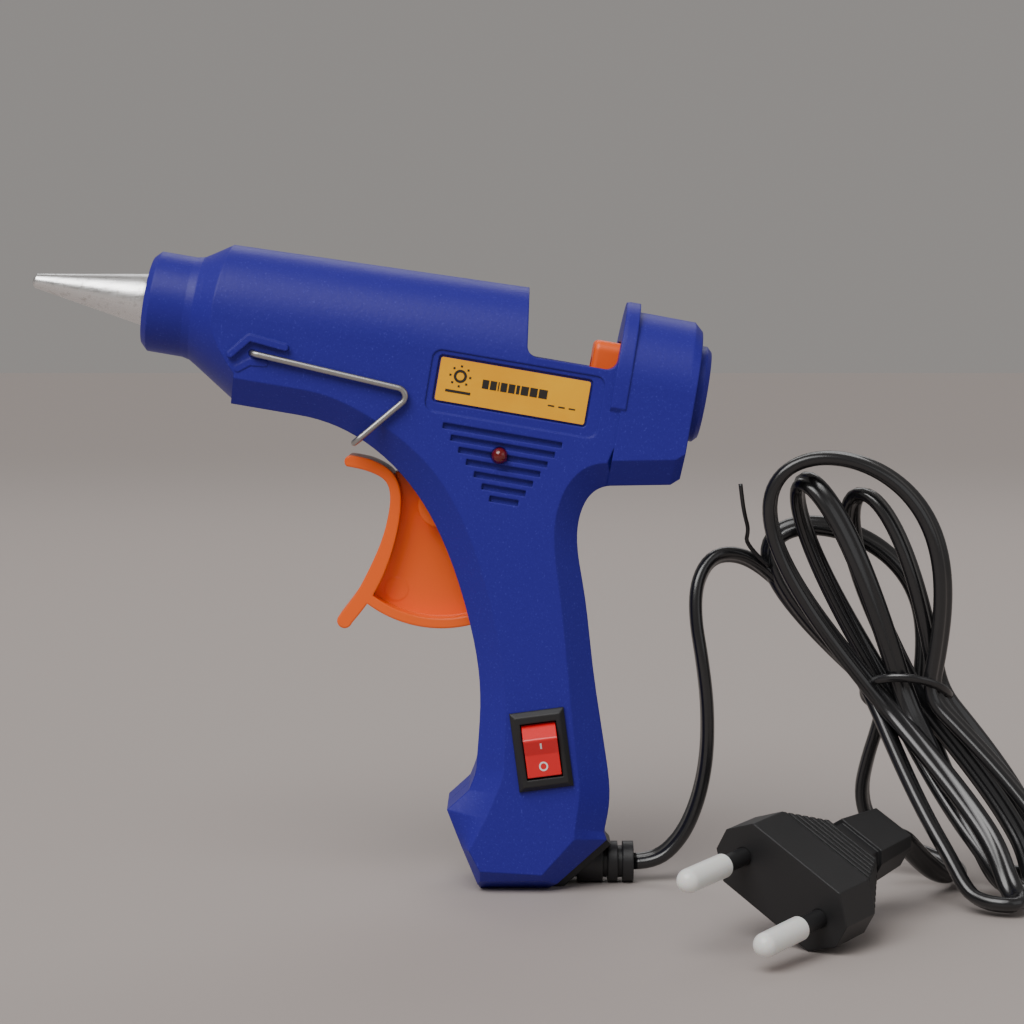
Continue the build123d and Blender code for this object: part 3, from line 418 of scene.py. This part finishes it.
def sweep(name, line, profile, look, broad):
    """Closed tube of a flat profile along a line, its broad axis drawn slowly towards the way given."""
    verts, faces = [], []
    broad = Vector(broad).normalized()
    side = broad
    count = len(profile)
    for i, point in enumerate(line):
        ahead = (line[min(i + 1, len(line) - 1)] - line[max(i - 1, 0)]).normalized()
        side = side + broad * (0.06 if side.dot(broad) >= 0 else -0.06)
        side = (side - ahead * side.dot(ahead)).normalized()
        sway = Matrix.Rotation(0.5 * sin(i / 31.0), 3, ahead) @ side
        up = ahead.cross(sway)
        for a, b in profile:
            verts.append(point + sway * (a * MM) + up * (b * MM))
    for i in range(len(line) - 1):
        for j in range(count):
            k = (j + 1) % count
            faces.append([i * count + j, i * count + k, (i + 1) * count + k, (i + 1) * count + j])
    faces.append(list(range(count))[::-1])
    faces.append([(len(line) - 1) * count + j for j in range(count)])
    return mesh_piece(name, verts, faces, look, True)


def twin_profile(wide, thick, count=28, groove=0.12):
    """Two round conductors side by side: an oval with a shallow groove along each broad side."""
    ring = []
    for i in range(count):
        turn = 2 * pi * i / count
        a = wide / 2 * cos(turn)
        b = thick / 2 * (abs(sin(turn)) ** 0.75) * (1 if sin(turn) >= 0 else -1)
        dip = max(0.0, 1 - (a / (wide * 0.16)) ** 2)
        ring.append((a, b * (1 - groove * dip * 2)))
    return ring


def add_cord():
    route = LEAD + JOIN + [tuple(p) for p in hank_points()] + TAIL + NECK
    line = spaced(centreline(route), LINE_STEP * MM)
    length = sum((b - a).length for a, b in zip(line, line[1:]))
    print("cord length", round(length, 4))
    flex = sweep("mains_cord", line, twin_profile(CORD_WIDE, CORD_THICK), "cord", (0.75, 1, 0.25))
    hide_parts("cord_lead", "cord_hank", "cord_tail")
    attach(flex, "body")
    return flex, line


def oval(half_wide, half_thick, count):
    turns = [2 * pi * i / count for i in range(count)]
    return [(half_wide * cos(turn), half_thick * sin(turn)) for turn in turns]


def add_tie():
    """Flat wire tie: a band round the waist of the hank, and the loose end of its wire beside the lead."""
    band = []
    band_steps = 60
    for i in range(band_steps + 1):
        turn = 2 * pi * i / band_steps
        point = TIE + Vector((8.6 * cos(turn), 7.4 * sin(turn), -1.2 * cos(turn) - 4.4 * sin(turn)))
        band.append(point * MM)
    ring = sweep("tie_band", band, oval(0.85, 0.5, 16), "cord", (0, 0, 1))
    wire = spaced(centreline(LOOSE_END), 0.8 * MM)
    whisker = sweep("tie_end", wire, oval(0.42, 0.42, 12), "cord", (1, 0, 0))
    for piece in (ring, whisker):
        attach(piece, "body")
    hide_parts("cord_tie")
    return ring, whisker


# --- label, switch and lamp details -------------------------------------------------------------------
def add_label_marks():
    """Plain bars and a ring of dots in place of the printing."""
    verts, faces = [], []
    ring_x, ring_z, dot_reach, dots, ink = -10.2, 1.0, 1.9, 8, 0.02
    flat_ring(verts, faces, (ring_x, 0, ring_z), (1.25, 1.25), (0.75, 0.75), ink)
    for i in range(dots):
        turn = 2 * pi * i / dots
        dot = (ring_x + dot_reach * cos(turn), 0, ring_z + dot_reach * sin(turn))
        block(verts, faces, dot, (0.2, ink, 0.2))
    block(verts, faces, (ring_x, 0, -2.0), (2.4, ink, 0.25))
    at, gap = -6.0, 0.14
    for width in (1.5, 1.5, 0.5, 1.5, 1.5, 0.9, 1.7, 1.7, 1.9):
        block(verts, faces, (at + width / 2, 0, 0.3), (width / 2 - gap, ink, 0.85))
        at += width
    for i in range(3):
        block(verts, faces, (7.6 + 2.0 * i, 0, -1.6), (0.62, ink, 0.14))
    lean, centre = Matrix.Rotation(TILT, 3, "Y"), world(72.3, -5.1, LABEL_FACE)
    marks = mesh_piece("label_marks", [lean @ (v * MM) + centre for v in verts], faces, "ink")
    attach(marks, "body")


def add_switch_marks():
    """White I and O on the rocker."""
    centre = world(89.2, -71.5, SIDE)
    lean = Matrix.Rotation(TILT - ROCKER_LEAN, 3, "Y")
    verts, faces = [], []
    block(verts, faces, (0, 0, 0), (0.17, 0.03, 0.62))
    upper_face = Matrix.Rotation(radians(25.0), 3, "X")
    verts = [upper_face @ v + Vector((0, -2.80, 1.12)) for v in verts]
    ring, ring_faces = [], []
    flat_ring(ring, ring_faces, (0, 0, 0), (0.86, 0.92), (0.56, 0.62), 0.03)
    lower_face = Matrix.Rotation(radians(5.25), 3, "X")
    faces += [[i + len(verts) for i in face] for face in ring_faces]
    verts += [lower_face @ v + Vector((0, -1.80, -2.96)) for v in ring]
    marks = mesh_piece("switch_marks", [lean @ (v * MM) + centre for v in verts], faces, "mark")
    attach(marks, "rocker")


def stage():
    mesh = bpy.data.meshes.new("floor")
    reach = 6.0
    corners = [(-reach, -reach, 0), (reach, -reach, 0), (reach, reach, 0), (-reach, reach, 0)]
    mesh.from_pydata(corners, [], [(0, 1, 2, 3)])
    shader = Shader("floor_pale", Base_Color=(0.40, 0.355, 0.335, 1), Roughness=0.7)
    mesh.materials.append(shader.material)
    floor = bpy.data.objects.new("floor", mesh)
    bpy.context.scene.collection.objects.link(floor)
    sky = bpy.data.worlds.new("studio")
    sky.use_nodes = True
    sky.node_tree.nodes["Background"].inputs["Color"].default_value = (0.80, 0.76, 0.73, 1)
    sky.node_tree.nodes["Background"].inputs["Strength"].default_value = 0.36
    bpy.context.scene.world = sky
    area_light("key", (-0.50, -0.80, 1.00), (0, 0, 0.06), (0.7, 0.7), 5.5, (1.0, 0.985, 0.96))
    area_light("fill", (0.85, -0.6, 0.5), (0, 0, 0.06), (0.9, 0.7), 1.2, (0.96, 0.98, 1.0))
    area_light("back", (0.1, 0.9, 0.9), (0, 0, 0.06), (0.9, 0.5), 2.5)
    add_sun()


add_camera()
flex, route = add_cord()
tie_band, tie_end = add_tie()
dress()
add_label_marks()
add_switch_marks()
stage()
